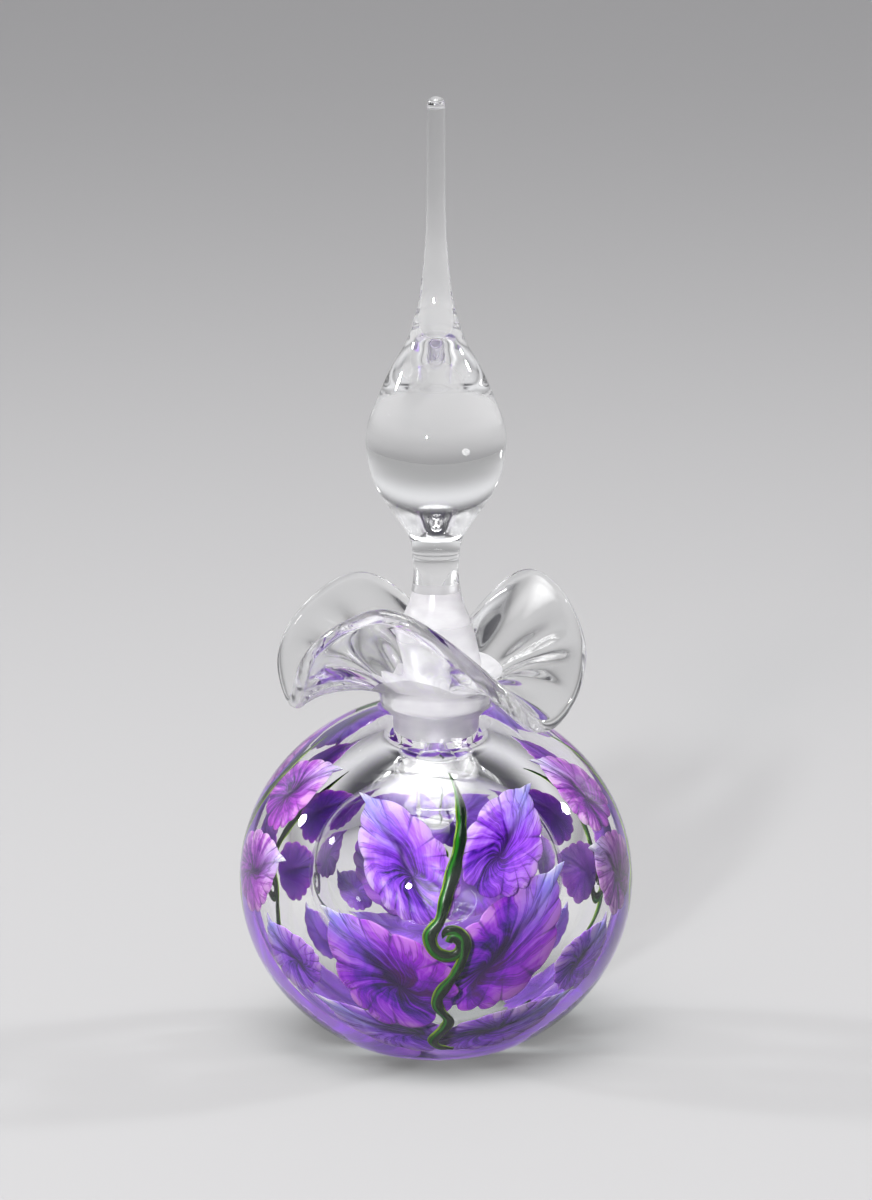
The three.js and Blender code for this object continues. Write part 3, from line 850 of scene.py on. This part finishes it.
def floor():
    """A flat disc under the bottle, its radius in metres."""
    angles = np.linspace(0, 2 * np.pi, FLOOR_SIDES, endpoint=False)
    disc = FLOOR_RADIUS * np.stack([np.cos(angles), np.sin(angles), 0 * angles], axis=1)
    mesh = bpy.data.meshes.new("floor")
    mesh.from_pydata(disc.tolist(), [], [list(range(FLOOR_SIDES))])
    material, tree, output = new_material("pale_floor")
    shader = node(tree, "ShaderNodeBsdfPrincipled",
                  {"Base Color": (0.44, 0.436, 0.44, 1), "Roughness": 0.8,
                   "Specular IOR Level": 0.1})
    tree.links.new(shader.outputs[0], output.inputs["Surface"])
    mesh.materials.append(material)
    piece = bpy.data.objects.new("floor", mesh)
    bpy.context.scene.collection.objects.link(piece)


def surroundings():
    """Grey light, as dark as the far floor at the horizon, pale above it and dark overhead."""
    world = bpy.data.worlds.new("studio")
    world.use_nodes = True
    tree = world.node_tree
    tree.nodes.clear()
    way = node(tree, "ShaderNodeTexCoord").outputs["Generated"]
    height = node(tree, "ShaderNodeSeparateXYZ", {"Vector": way}).outputs[2]
    tint = ramp(tree, height, [(0.0, (0.36, 0.358, 0.364, 1)), (0.3, (0.8, 0.8, 0.82, 1)),
                               (0.62, (0.08, 0.08, 0.09, 1)), (1.0, (0.08, 0.08, 0.09, 1))])
    light = node(tree, "ShaderNodeBackground", {"Color": tint, "Strength": 1.0})
    node(tree, "ShaderNodeOutputWorld", {"Surface": light.outputs[0]})
    bpy.context.scene.world = world


floor()
surroundings()
print("floor", 2 * FLOOR_RADIUS, "m across")


# %% Lamps and camera
def look_at(thing, target):
    """Turns a lamp or a camera so that its -Z axis points at the target."""
    way = Vector(target) - Vector(thing.location)
    thing.rotation_euler = way.to_track_quat("-Z", "Y").to_euler()


def far_lamp(name, side, up, width, light):
    """A round soft lamp far away: its direction, how wide it looks and its light."""
    data = bpy.data.lights.new(name, "SUN")
    data.angle = np.radians(width)
    data.energy = light
    made = bpy.data.objects.new(name, data)
    a, b = np.radians(side), np.radians(up)
    made.location = (np.cos(b) * np.sin(a), -np.cos(b) * np.cos(a), np.sin(b))
    look_at(made, (0, 0, 0))
    bpy.context.scene.collection.objects.link(made)


def softbox(name, place, size, power):
    """A rectangular lamp overhead that shines straight down, so the floor fades away from it.
    Its light grows over the outer third, so its reflection has no hard edge."""
    data = bpy.data.lights.new(name, "AREA")
    data.shape = "RECTANGLE"
    data.size, data.size_y = size
    data.energy = power
    data.use_nodes = True
    tree = data.node_tree
    spots = numbers_of(tree, node(tree, "ShaderNodeNewGeometry").outputs["Parametric"])
    from_edge = [sums(tree, "SMOOTH_MIN", sums(tree, "MULTIPLY", spot, 3.0),
                      sums(tree, "MULTIPLY", sums(tree, "SUBTRACT", 1.0, spot), 3.0), 0.5)
                 for spot in spots[:2]]
    share = sums(tree, "MINIMUM", sums(tree, "MULTIPLY", *from_edge), 1.0)
    tree.links.new(share, tree.nodes["Emission"].inputs["Strength"])
    made = bpy.data.objects.new(name, data)
    made.location = place
    bpy.context.scene.collection.objects.link(made)


softbox("overhead", (-0.15, -0.28, 1.6), (1.4, 0.95), 60)
far_lamp("front", -16, 13, 3.5, 2.8)
far_lamp("left", -104, 24, 5.5, 1.0)
far_lamp("right", 108, 28, 5.5, 0.9)

ELEVATION, DISTANCE = np.radians(12.0), 0.95
SENSOR, TALL, AIM_UP = 36, 0.257, 0.0973  # sensor in mm; height in view and aim in metres
camera = bpy.data.objects.new("camera", bpy.data.cameras.new("camera"))
camera.data.lens = SENSOR * DISTANCE / TALL
aim = (0, 0, AIM_UP)
camera.location = (0, -DISTANCE * np.cos(ELEVATION), aim[2] + DISTANCE * np.sin(ELEVATION))
look_at(camera, aim)
bpy.context.scene.collection.objects.link(camera)
scene = bpy.context.scene
scene.camera = camera
scene.view_settings.view_transform = "Standard"
scene.cycles.max_bounces = 48
scene.cycles.transmission_bounces = 48
scene.cycles.glossy_bounces = 48
scene.cycles.transparent_max_bounces = 32
scene.cycles.caustics_refractive = False
scene.cycles.caustics_reflective = False
print("lens", round(camera.data.lens, 1), "mm")
